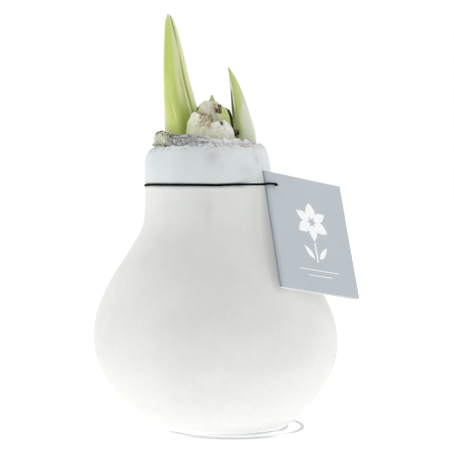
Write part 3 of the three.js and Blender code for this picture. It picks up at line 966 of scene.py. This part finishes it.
def dried_ring(material):
    """Four sheets, one inside another."""
    skin = Skin()
    for sheet, (radius, top) in enumerate([(20.5, 118.5), (19.9, 119.7), (19.3, 120.5), (18.7, 121.0)]):
        crumpled_sheet(skin, radius, top, sheet * 5 + 1)
    piece("dried_ring", skin, material, "dry_scale", "dry_scales")


def shred(skin, draw, degrees, radius, foot, length, values):
    """One torn strip of skin, which leans along the ring and curls outwards."""
    width = draw.uniform(0.35, 1.3)
    curl = draw.uniform(-0.3, 1.5)
    lean = draw.uniform(-1.45, 1.45)
    seed = draw.uniform(0, 50)
    out = polar(1, radians(degrees))
    side = Vector((-out.y, out.x, 0))
    rise = Vector((0, 0, cos(lean))) + side * sin(lean)
    beam = rise.cross(out)
    steps_up, steps_across = 8, 4

    def make(row, column):
        up = row / steps_up
        across = (column / steps_across - 0.5) * width * (1 - 0.8 * up**2)
        wobble = 0.3 * ripple((across, up * 3, seed), 1.0)
        place = out * (radius + curl * up * up + wobble) + rise * (length * up) + beam * across
        z = foot + place.z + 0.25 * ripple((across, seed, 0), 0.5) * up
        return (axis_x(z) + place.x, place.y, z), values

    skin.grid(steps_up + 1, steps_across + 1, make)


def loose_shreds(skin):
    draw = random.Random(12)
    for _ in range(SHREDS):
        degrees = draw.uniform(0, 360)
        grown = 0.8 * max(crest_change(degrees), -1.4)
        foot = draw.uniform(115.4, 118.0) + 0.6 * grown
        white = whiteness(degrees)
        pale = min(1, draw.choice([0.0, 0.1, 0.3, 0.7]) + white)
        values = {"pale": pale, "creased": draw.uniform(0, 0.6) * (1 - 0.8 * white)}
        shred(skin, draw, degrees, draw.uniform(18.5, 21.2), foot, draw.uniform(1.0, 2.8) + grown,
              values)
    # below the stump, short grey rags stand out over the wax
    for _ in range(RAGS):
        shred(skin, draw, draw.uniform(180, 236), draw.uniform(20.5, 21.6),
              draw.uniform(116.2, 117.1), draw.uniform(0.7, 1.5),
              {"pale": 0.35, "creased": draw.uniform(0.2, 0.6), "spots": draw.uniform(0, 1)})


def lip_flake(skin, draw):
    """A crumb of skin or wax that stuck to the lip, most often in front at the right."""
    degrees = draw.choice([draw.uniform(255, 352), draw.uniform(255, 352), draw.uniform(0, 360)])
    near, size = draw.uniform(21.2, 23.1), draw.uniform(0.5, 1.5)
    seed, lift = draw.uniform(0, 50), draw.uniform(0.0, 0.35)
    values = {"pale": draw.choice([0.5, 0.9, 1.0]), "creased": draw.choice([0, 0, 0.1, 0.6])}
    values["creased"] *= 1 - 0.7 * whiteness(degrees)
    rings, sides = 3, 10

    def make(row, column):
        turn, share = TURN * column / sides, row / rings
        far = share * size / 2 * (1 + 0.6 * ripple(polar(1, turn, seed), 0.6))
        radius = near + far * cos(turn)
        angle = radians(degrees) + far * sin(turn) / near * 1.3
        z = FLAKE_Z - 2.2 * (max(radius - 21.8, 0) / 2.8) ** 2 + lip_wave(angle)
        z += 0.1 + lift * share + 0.25 * ripple((radius, angle * 20, seed), 0.8)
        return polar(radius, angle, z, axis_x(z)), values

    skin.grid(rings + 1, sides, make, around=True)


def dried_shreds(material):
    skin = Skin()
    loose_shreds(skin)
    draw = random.Random(31)
    for _ in range(FLAKES):
        lip_flake(skin, draw)
    thicken(piece("dried_shreds", skin, material, "dry_scale", "dry_scales"), 0.13)


def scale_stump(material):
    """The thick cut scale that is left standing beside the tall shoot."""

    def shade(turned, up):
        spots = max(smooth(0.7, 0.92, up), 0.95 * fade(0.25, 0.5, up))
        return {"cream": 0.85, "pale": 0.2, "spots": spots, "creased": 0.4 * fade(0, 0.5, up)}

    stump = Sizes(
        x=axis_x(118), y=0, radius=20.0, deep=1, thick=2.5, foot=114.9, bulge=0.2, ragged=0.8,
        lumps=0.5, blunt=9, seed=5, turns=110, levels=30, shade=shade, lean=[(0, 0.2)], edge=[
            (176, 119.4), (181, 121.2), (189, 122.4), (198, 122.7), (206, 122.9), (214, 122.2),
            (221, 121.4), (226, 119.2),
        ],
    )
    piece("scale_stump", standing_wall(Skin(), stump), material, "dry_scale", "dry_scales")


def shade_crumbs():
    """Black crumbs that stand in for the shade in dark hollows: beside the short shoot, in the front
    scale's notch and at the sheath.
    """
    skin = Skin()
    draw = random.Random(5)
    for count, middle, spread, size in [
        (9, (6.6, -4.4, 120.9), (1.0, 0.7, 0.3), 0.36),
        (5, (0.5, -7.6, 125.3), (0.5, 0.2, 0.2), 0.22),
        (4, (-9.35, -2.0, 131.2), (0.12, 0.5, 0.8), 0.16),
    ]:
        for _ in range(count):
            lean = draw.uniform(-1, 1) * size
            foot = Vector(at + draw.uniform(-1, 1) * wide for at, wide in zip(middle, spread))
            tip = foot + Vector((lean, 0.2, draw.uniform(4.0, 7.0) * size))
            path = evenly([foot, (foot + tip) / 2 + Vector((0.3 * lean, 0.3 * size, 0)), tip], 7)
            skin.tube(path, 7, lambda step, side: size * (
                1 - 0.09 * step + 0.12 * sin(step * 3 + side)))
    piece("crumbs_for_shade", skin, shade_black(), "dry_scale", "dry_scales")


# ---------------------------------------------------------------- leaves


def inner_leaf(skin, bud, shade):
    """The leaf inside: a full bud that keeps to one side, and ends just under the outer tip.
    shade(share, angle) gives the values of both leaves, and may weaken the outer one's edge."""
    at, rows, sides = outline_of(bud.stations), 96, 56

    def make(row, column):
        share = row / rows * 0.965
        middle, half, z = at(share)
        blade = min(OUTER_LEAF * 1.25, half * 0.4)
        angle = TURN * column / sides
        depth = max(half * bud.flatness - blade, half * 0.25)
        closing = sqrt(max(fade(0.93, 1.0, row / rows), 0.004))
        x = middle + bud.inner_side * blade / 2 + (half - blade / 2) * closing * cos(angle)
        y = bud.y + depth * closing * sin(angle)
        ridge = 0.05 * ripple((to_degrees(angle) / 9, z / 40, 5), 1.0)
        along = {"along": share * bud.length, "across": angle * half, "edge": 0.0}
        return (x + ridge * cos(angle), y + ridge * sin(angle), z), {**shade(share, angle), **along}

    return skin.grid(rows + 1, sides, make, closed=True)


def outer_leaf(skin, bud, shade):
    """The leaf outside: a curved blade round the bud, thin at both of its free margins."""
    at, rows, loop = outline_of(bud.stations), 110, there_and_back(60)

    def make(row, column):
        share = row / rows * 0.995
        side, turn = loop[column]
        middle, half, z = at(share)
        front = mix(*bud.margin, share)
        # the blade goes round by the side that the inner leaf leaves
        span = bud.back - front - (360 if bud.inner_side > 0 else 0)
        angle = radians(front + span * turn)
        thick = min(OUTER_LEAF, half * 0.5) * (0.35 + 0.65 * smooth(0, 0.25, min(turn, 1 - turn) * 2))
        inset = thick if side < 0 else 0
        lift = 0.12 * hump(turn, 0, 0.05)  # the front margin stands a little free
        depth = max(half * bud.flatness - inset + lift, 0.05)
        ridge = 0.05 * ripple((to_degrees(angle) / 9, z / 40, 2), 1.0) if side > 0 else 0
        place = (
            middle + (half - inset + lift + ridge) * cos(angle),
            bud.y + (depth + ridge) * sin(angle), z,
        )
        values = shade(share, angle)
        edge = values.get("edge", 1) * hump(turn, 0, bud.rim)
        return place, {**values, "along": share * bud.length, "across": angle * half, "edge": edge}

    return skin.grid(rows + 1, len(loop), make, closed=True)


def two_leaves(name, bud, material, slot, inside, outside):
    """A bud's inner and outer leaf, as a piece each."""
    for where, grow, shade in (("inner", inner_leaf, inside), ("outer", outer_leaf, outside)):
        piece(f"{name}_{where}_leaf", grow(Skin(), bud, shade), material, slot, f"{name}_shoot")


def across_front(angle):
    """0 at the bud's left side and 1 at its right, as seen from the front or from the back."""
    return (cos(angle) + 1) / 2


def tall_shoot():
    material = leaf(
        "bud_green", (210, 228, 98), (238, 242, 186), (158, 178, 34), (244, 247, 222),
        (246, 250, 206),
    )

    def outside(share, angle):
        place = across_front(angle)
        low, high = fade(0.32, 0.5, share), smooth(0.5, 0.6, share)
        # rim is a painted highlight down the left edge; low_left and the value of painted light low down
        # lift the lower left out of the ring's shade
        rim = fade(0.0, 0.08, place) * (1 - 0.7 * high)
        low_left = fade(0.25, 0.5, share) * fade(0.05, 0.25, place)
        return {
            "pale": min(1, 0.85 * smooth(0.4, 0.55, place) * smooth(0.32, 0.5, share)
                        + 0.6 * rim + 0.7 * low_left),
            "deep": min(1, 0.3 * smooth(0.64, 0.74, place) * fade(0.8, 0.92, share)
                        + 0.95 * smooth(0.3, 0.56, place) * low
                        + 0.25 * hump(share, 0.47, 0.06) * hump(place, 0.42, 0.07)
                        + 0.65 * hump(share, 0.5, 0.07) * hump(place, 0.69, 0.06)
                        + 0.3 * high * hump(place, 0.12, 0.12)),
            "fresh": fade(0.3, 0.42, share) * fade(0.4, 0.55, place),
            "tip": 0.9 * smooth(0.8, 0.95, share),
            # a painted highlight: a thin pale streak down the middle-left
            "streak": (1 - 0.7 * smooth(0.38, 0.44, share)) * between((0.31, 0.35), (0.48, 0.56), share),
            "off_streak": place - read_along([(0.33, 0.34), (0.44, 0.235), (0.54, 0.2)], share),
        }

    def inside(share, angle):
        # painted shade: a dark line beside the outer leaf's margin, where it overlaps this leaf, and
        # pale from there
        margin = across_front(radians(mix(*TALL_SHOOT.margin, share)))
        beside = (across_front(angle) - margin) / (1 - margin)
        faint = hump(share, 0.645, 0.065)
        return {
            "pale": 0.95 * max(smooth(0.2, 0.45, beside), faint),
            "deep": 0.9 * fade(0.15, 0.35, beside) * (1 - 0.85 * faint),
            "tip": 0.8 * smooth(0.86, 1.0, share) + 0.45 * smooth(0.5, 0.9, beside),
        }

    two_leaves("tall", TALL_SHOOT, material, "bud_green", inside, outside)


def short_shoot(material):
    def outside(share, angle):
        place = across_front(angle)
        # a dark line beside the free margin high up, and a broad green shade there low down
        beside = place - across_front(radians(mix(*SHORT_SHOOT.margin, share)))
        high = smooth(0.5, 0.64, share)
        low = between((0.28, 0.4), (0.5, 0.64), share)
        # a white bloom lies over the lower right, with an uneven edge
        bloom_edge = read_along(
            [(0.3, 0.3), (0.46, 0.38), (0.52, 0.46), (0.58, 0.6), (0.65, 0.78), (0.75, 1.05)], share,
        )
        uneven = place + 0.1 * ripple((place * 5, share * 18, 0), 1.0)
        uneven += 0.1 * ripple((place * 15, share * 4, 3), 1.0)
        return {
            "edge": 0.25 + 0.75 * high,
            "pale": max(
                0.5 * smooth(0.5, 0.8, place) * (1 - 0.5 * smooth(0.5, 0.9, share)),
                smooth(bloom_edge - 0.15, bloom_edge + 0.26, uneven),
                fade(0.22, 0.32, share),
            ),
            "deep": 0.8 * high * hump(beside, 0.14, 0.06) + 0.6 * low * hump(beside, 0.06, 0.12),
            "tip": max(0.9 * smooth(0.93, 1.0, share), 0.7 * high * smooth(0.88, 0.97, place)),
        }

    def inside(share, angle):
        ending = smooth(0.66, 0.78, share)
        return {
            "pale": 0.1 + 0.9 * ending, "tip": smooth(0.94, 1.0, share),
            # painted shade: darker over its middle, where it shows in the shade of the outer leaf's
            # margin
            "deep": (0.25 + 0.75 * smooth(0.42, 0.55, share)) * (1 - ending),
        }

    two_leaves("short", SHORT_SHOOT, material, "leaf_green", inside, outside)


def young_tip(material):
    def shade(share, angle):
        return {
            # painted shade: darker towards its left and right sides
            "edge": 0.5, "pale": 0.3, "deep": 0.1 + 0.7 * smooth(0.55, 0.95, abs(cos(angle))),
            "tip": 0.5 * smooth(0.85, 1.0, share),
        }

    skin = outer_leaf(inner_leaf(Skin(), LEAF_TIP, shade), LEAF_TIP, shade)
    piece("young_leaf_tip", skin, material, "leaf_green", "leaf_tip")


def stump_of_leaf():
    """The leaf that was cut: a thick channelled blade with a black, dried right margin."""
    at, rows, loop = outline_of(CUT_LEAF.stations), 60, there_and_back(26)

    def make(row, column):
        side, turn = loop[column]
        place, share = turn * 2 - 1, row / rows
        middle, half, z = at(share)
        z += (0.25 * ripple((place * 3, side, 0), 0.8, 3) - CUT_LEAF.slant * place) * share**8
        thick = CUT_LEAF.thick / 2 * sqrt(max(1 - place**4, 0.06))
        y = CUT_LEAF.y - CUT_LEAF.curl * place * place - side * thick + 0.06 * sin(place * 16)
        return (middle + place * half, y, z), {
            "pale": max(fade(0.35, 0.7, share), 0.9 * hump(place, 0.42, 0.12)),
            "dry": 0.7 * smooth(0.975, 1.0, share),
            "dark": max(smooth(0.5, 0.6, place + 0.2 * smooth(0.9, 0.97, share)),
                        0.5 * smooth(0.985, 1.0, share) * max(side, 0)),
        }

    skin = Skin().grid(rows + 1, len(loop), make, closed=True)
    piece("cut_leaf", skin, cut_leaf(), "cut_leaf", "leaf_stump")


def dried_rag():
    """The dried left side of the cut leaf, crumpled forwards over the nose."""
    steps_up, steps_out = 26, 20

    def make(row, column):
        up, out = row / steps_up, column / steps_out
        x = 0.9 - (2.6 + 1.0 * up) * out + 0.3 * sin(up * 5) - 0.5 * (1 - up) * (1 - out)
        y = 1.6 - 5.3 * sin(out * 1.35) + 0.2 * out
        z = 129.6 + 4.9 * up * (1 - 0.1 * out) - 0.5 * up * (1 - out) + 1.1 * out * (1 - up)
        crumple = 0.45 * ripple((x, z, 0), 1.7, 6) + 0.25 * ripple((x, z, 0), 0.7, 9)
        ragged = 0.9 * ripple((x * 2, up, 0), 0.8, 12) * (smooth(0.6, 1, up) - smooth(0.4, 0, up))
        x += 0.5 * ripple((z, out, 0), 0.9, 15) * (smooth(0.6, 1, out) - smooth(0.4, 0, out))
        burnt = 0.14 - 0.22 * smooth(0.25, 0.75, out) * smooth(0.1, 0.6, up)
        return (x, y + crumple - 0.9, z + ragged), {"burnt": burnt}

    skin = Skin().grid(steps_up + 1, steps_out + 1, make)
    thicken(piece("dried_rag", skin, parchment(), "cut_leaf", "leaf_stump"), 0.22, 1)


# ---------------------------------------------------------------- elastic and tag


def tag_frame():
    """From the tag's own axes, across, back and up from its lower fold corner, to the object's."""
    across = TAG_ACROSS.normalized()
    back = across.cross(TAG_DOWN).normalized()
    up = across.cross(back)
    corner = TAG_CORNER - up * TAG.height
    return Matrix.Translation(corner) @ Matrix((across, back, up)).transposed().to_4x4()


def hung(mesh):
    """Moves a mesh from the tag's own axes to where the tag hangs, and keeps its edges sharp."""
    move = tag_frame()
    move.translation *= MM
    mesh.transform(move)
    mesh.shade_smooth()
    mesh.set_sharp_from_angle(angle=CARD_EDGE)
    return mesh


def beside_tag(inwards, level, out):
    """A point at a level beside the tag: in from its fold, and out from its face."""
    frame_of_tag = tag_frame()
    top = frame_of_tag @ Vector((inwards, -out, TAG.height))
    up = frame_of_tag.col[2].to_3d()
    return top + up * ((level - top.z) / up.z)


def round_neck(degrees, radius, z=CORD_Z):
    return polar(radius, radians(degrees), z, axis_x(CORD_Z))


def sag(degrees):
    """The elastic doesn't lie quite level: how far it is from its mean height."""
    level = [(108, 0), (162, -0.25), (180, -0.35), (205, -0.05), (240, -0.1), (280, -0.25), (294, 0)]
    return read_along(level, degrees)


def cord_path():
    """From the knot round the left and front, through the tag's hole, and back by the right."""
    hole = TAG_HOLE.from_fold
    through = [  # in from the fold, above the elastic's mean height, and out from the tag's face
        (-2.6, 0.1, 1.15), (0.3, 0.35, 1.1), (hole - 2.6, 0.3, 1.15), (hole - 1.1, 0.1, 0.95),
        (hole - 0.15, -0.2, 0.3), (hole + 0.1, -0.2, -0.9), (hole + 0.9, -0.1, -2.4),
    ]
    return [
        round_neck(KNOT.angle + KNOT.ends, CORD_RADIUS + KNOT.out),
        *(round_neck(degrees, CORD_RADIUS, CORD_Z + sag(degrees)) for degrees in range(108, 289, 9)),
        round_neck(295, CORD_RADIUS + 0.1),
        *(beside_tag(inwards, CORD_Z + above, out) for inwards, above, out in through),
        *(round_neck(degrees, CORD_RADIUS) for degrees in range(9, 98, 9)),
        round_neck(KNOT.angle - KNOT.ends, CORD_RADIUS + KNOT.out),
    ]


def braided(skin, points, pace=0.14):
    """A cord along points, its surface woven in two crossing spirals."""
    length = sum((end - start).length for start, end in zip(points, points[1:]))
    path = evenly(points, round(length / pace))
    sides = 14

    def radius(step, side):
        turn = TURN * side / sides
        weave = sin(turn * 4 + step * 0.9) * sin(turn * 4 - step * 0.9)
        uneven = 0.07 * ripple((step * pace, 0, 0), 2.6)
        return CORD / 2 * (0.98 + 0.05 * weave + uneven)

    skin.tube(path, sides, radius)


def elastic_cord():
    skin = Skin()
    braided(skin, cord_path())
    out = CORD_RADIUS + KNOT.out
    middle = round_neck(KNOT.angle, out)
    outwards = polar(1, radians(KNOT.angle))
    sideways = Vector((-outwards.y, outwards.x, 0))
    # the knot is a trefoil
    knot_steps = 60
    braided(skin, [
        middle
        + sideways * (0.36 * (sin(t) + 2 * sin(2 * t)))
        + Vector((0, 0, 0.4 * (cos(t) - 2 * cos(2 * t))))
        - outwards * (0.5 * sin(3 * t))
        for t in (TURN * step / knot_steps for step in range(knot_steps + 1))
    ])
    for side in (-1, 1):
        braided(skin, [
            round_neck(KNOT.angle + side * turned, out + further, CORD_Z - below)
            for turned, further, below in [
                (1, 0.3, 0), (3, 1.8, 1.5), (5, 2.2, KNOT.tail / 2), (8, 1.9, KNOT.tail - 0.4),
            ]
        ])
    piece("elastic_loop", skin, elastic(), "elastic", "elastic_cord")


def folded_card():
    """The card's section: across from the fold, and back from its face."""
    thick, width, fold_steps = TAG.leaf, TAG.width, 12
    angles = [pi / 2 + pi * step / fold_steps for step in range(fold_steps + 1)]
    return [
        (width, 0), (width, thick), (TAG.crease, thick), (width, thick + TAG.open),
        (width, 2 * thick + TAG.open),
        *((thick * (1 + cos(angle)), thick * (1 + sin(angle))) for angle in angles),
    ]


def punched_card():
    """The folded card with its hole, still in the tag's own axes."""
    section = folded_card()
    card_skin = Skin().prism(*([(*place, z) for place in section] for z in (0, TAG.height)))
    hole_z = TAG.height - TAG_HOLE.from_top
    punch = Skin().tube(
        [Vector((TAG_HOLE.from_fold, y, hole_z)) for y in (-3, 4)], 48,
        lambda step, side: TAG_HOLE.radius,
    )
    blank, cutter = put("blank_card", card_skin.mesh("folded_card")), put("punch", punch.mesh("punch"))
    hole = blank.modifiers.new("hole", "BOOLEAN")
    hole.object = cutter
    hole.solver = "EXACT"
    graph = bpy.context.evaluated_depsgraph_get()
    punched = bpy.data.meshes.new_from_object(blank.evaluated_get(graph))
    for made in (cutter, blank):
        bpy.data.objects.remove(made)
    return punched


def tag():
    punched = punched_card()
    punched.materials.clear()
    for face in punched.polygons:
        behind = face.normal.y > 0.5 and face.center.y > TAG.leaf * MM * 1.5
        on_fold = face.center.x < TAG.leaf * MM * 0.9 and abs(face.normal.z) < 0.5
        face.material_index = 2 if on_fold else 0 if face.normal.y < -0.5 or behind else 1
    # painted shade: the printed face darkens towards the fold, and the fold's rounded edge is painted
    # darker still
    piece("folded_tag", hung(punched), [
        card("printed_card", (181, 189, 196), (195, 203, 210), 0.5, by_fold=(156, 163, 170)),
        card("card_core", (226, 227, 226), (240, 240, 238), 0.75),
        card("shaded_fold", (120, 122, 129), (168, 172, 179), 0.7),
    ], "tag_card", "tag")


def raised(skin, outline):
    """A printed shape, as a very thin plate on the tag's face."""
    skin.prism(*([(x, back, z) for x, z in outline] for back in (INK / 2, -INK)))


def bar(start, end, width):
    """A straight printed line."""
    start, end = Vector(start), Vector(end)
    along = (end - start).normalized() * (width / 2)
    side = Vector((-along.y, along.x))
    return [start - along + side, start - along - side, end + along - side, end + along + side]


def petal(centre, degrees, length, half_width):
    """A pointed petal, a little away from the flower's middle."""
    out = polar(1, radians(degrees)).to_2d()
    side, steps = Vector((-out.y, out.x)), 14
    edge = [
        (mix(0.14, 1.0, step / steps), sin(pi * (step / steps) ** 0.85)) for step in range(steps + 1)
    ]
    there = [centre + out * (length * far) + side * (half_width * wide) for far, wide in edge]
    back = [centre + out * (length * far) - side * (half_width * wide) for far, wide in edge[1:-1]]
    return there + back[::-1]


def tag_print():
    """A plain six-petalled flower on a stem, and two rules."""
    skin = Skin()
    flower = Vector((21.5, 31.0))
    for step in range(6):
        raised(skin, petal(flower, 90 + step * 60, 8.6, 2.0 if step % 2 else 2.5))
    raised(skin, bar((flower.x, 13.5), (flower.x, flower.y - 9.4), 0.7))
    for side in (-1, 1):
        root = Vector((flower.x + side * 0.6, 13.6))
        raised(skin, petal(root, 90 - side * 38, 8.5, 1.1))
    for left, right, z in ((11.5, 31.5, 9.6), (15.5, 27.5, 7.2)):
        raised(skin, bar((left, z), (right, z), 0.35))
    ink = card("print_white", (244, 246, 247), (254, 254, 254), 0.55)
    piece("tag_print", hung(skin.mesh("tag_print")), ink, "tag_card", "tag")


# ---------------------------------------------------------------- studio


def camera():
    data = bpy.data.cameras.new("camera")
    data.sensor_width = CAMERA.sensor
    data.lens = CAMERA.lens
    seen = put("camera", data)
    seen.location = CAMERA.place
    seen.rotation_euler = (radians(90 - CAMERA.down), 0, 0)
    bpy.context.scene.camera = seen


def lamp(name, place, size, power):
    data = bpy.data.lights.new(name, "AREA")
    data.shape = "RECTANGLE"
    data.size, data.size_y = size
    data.energy = power
    made = put(name, data)
    made.location = place
    made.rotation_euler = (LIT_POINT - Vector(place)).to_track_quat("-Z", "Y").to_euler()


def floor():
    shader = Shader(
        "pale_floor", Roughness=0.9, Specular_IOR_Level=0.1, Emission_Color=WHITE,
        Emission_Strength=0.75,
    )
    shader.paint((205, 205, 205))
    reach = (-FLOOR_HALF, FLOOR_HALF)
    skin = Skin().grid(2, 2, lambda row, column: ((reach[column], reach[row], 0), None))
    made = put("floor", skin.mesh("floor"))
    made.data.materials.append(shader.material)


def surroundings():
    """A white studio that is dimmer in front of the object than behind it."""
    world = bpy.data.worlds.new("studio")
    bpy.context.scene.world = world
    world.use_nodes = True
    sky, light = Nodes(world.node_tree), world.node_tree.nodes["Background"]
    way = sky.node("SeparateXYZ", {"Vector": sky.node("TexCoord").outputs["Generated"]})
    depth = sky.node("MapRange", {
        "Value": way.outputs["Y"], "From Min": -1.0, "From Max": 1.0, "To Min": 0.56, "To Max": 0.74,
    })
    sky.feed(light.inputs["Color"], WHITE)
    sky.feed(light.inputs["Strength"], depth.outputs["Result"])
    choose = sky.node("MixShader", {
        "Fac": sky.node("LightPath").outputs["Is Camera Ray"], 1: light.outputs["Background"],
        2: sky.node("Background", {"Color": WHITE}).outputs["Background"],
    })
    sky.feed(world.node_tree.nodes["World Output"].inputs["Surface"], choose.outputs["Shader"])


def studio():
    camera()
    surroundings()
    floor()
    lamp("left_strip", (-0.9, 0.05, 0.5), (0.4, 1.2), 2.35)
    lamp("right_strip", (0.9, 0.05, 0.5), (0.4, 1.2), 2.1)
    lamp("overhead", (0, 0.05, 1.2), (1.2, 1.2), 1.6)
    settings = bpy.context.scene.view_settings
    settings.view_transform = "Standard"
    settings.look = "None"


# ---------------------------------------------------------------- the object

studio()
wire_stand()
velvet_coat()
bulb_material, dry_material = flesh(), papery()
for build in (bulb_body, nose_scales, nose_sheath):
    build(bulb_material)
for build in (dried_ring, dried_shreds, scale_stump):
    build(dry_material)
shade_crumbs()
tall_shoot()
leaf_material = leaf(
    "leaf_green", (207, 227, 88), (244, 250, 230), (92, 112, 24), (176, 184, 130), (255, 255, 222),
)
short_shoot(leaf_material)
young_tip(leaf_material)
stump_of_leaf()
dried_rag()
elastic_cord()
tag()
tag_print()
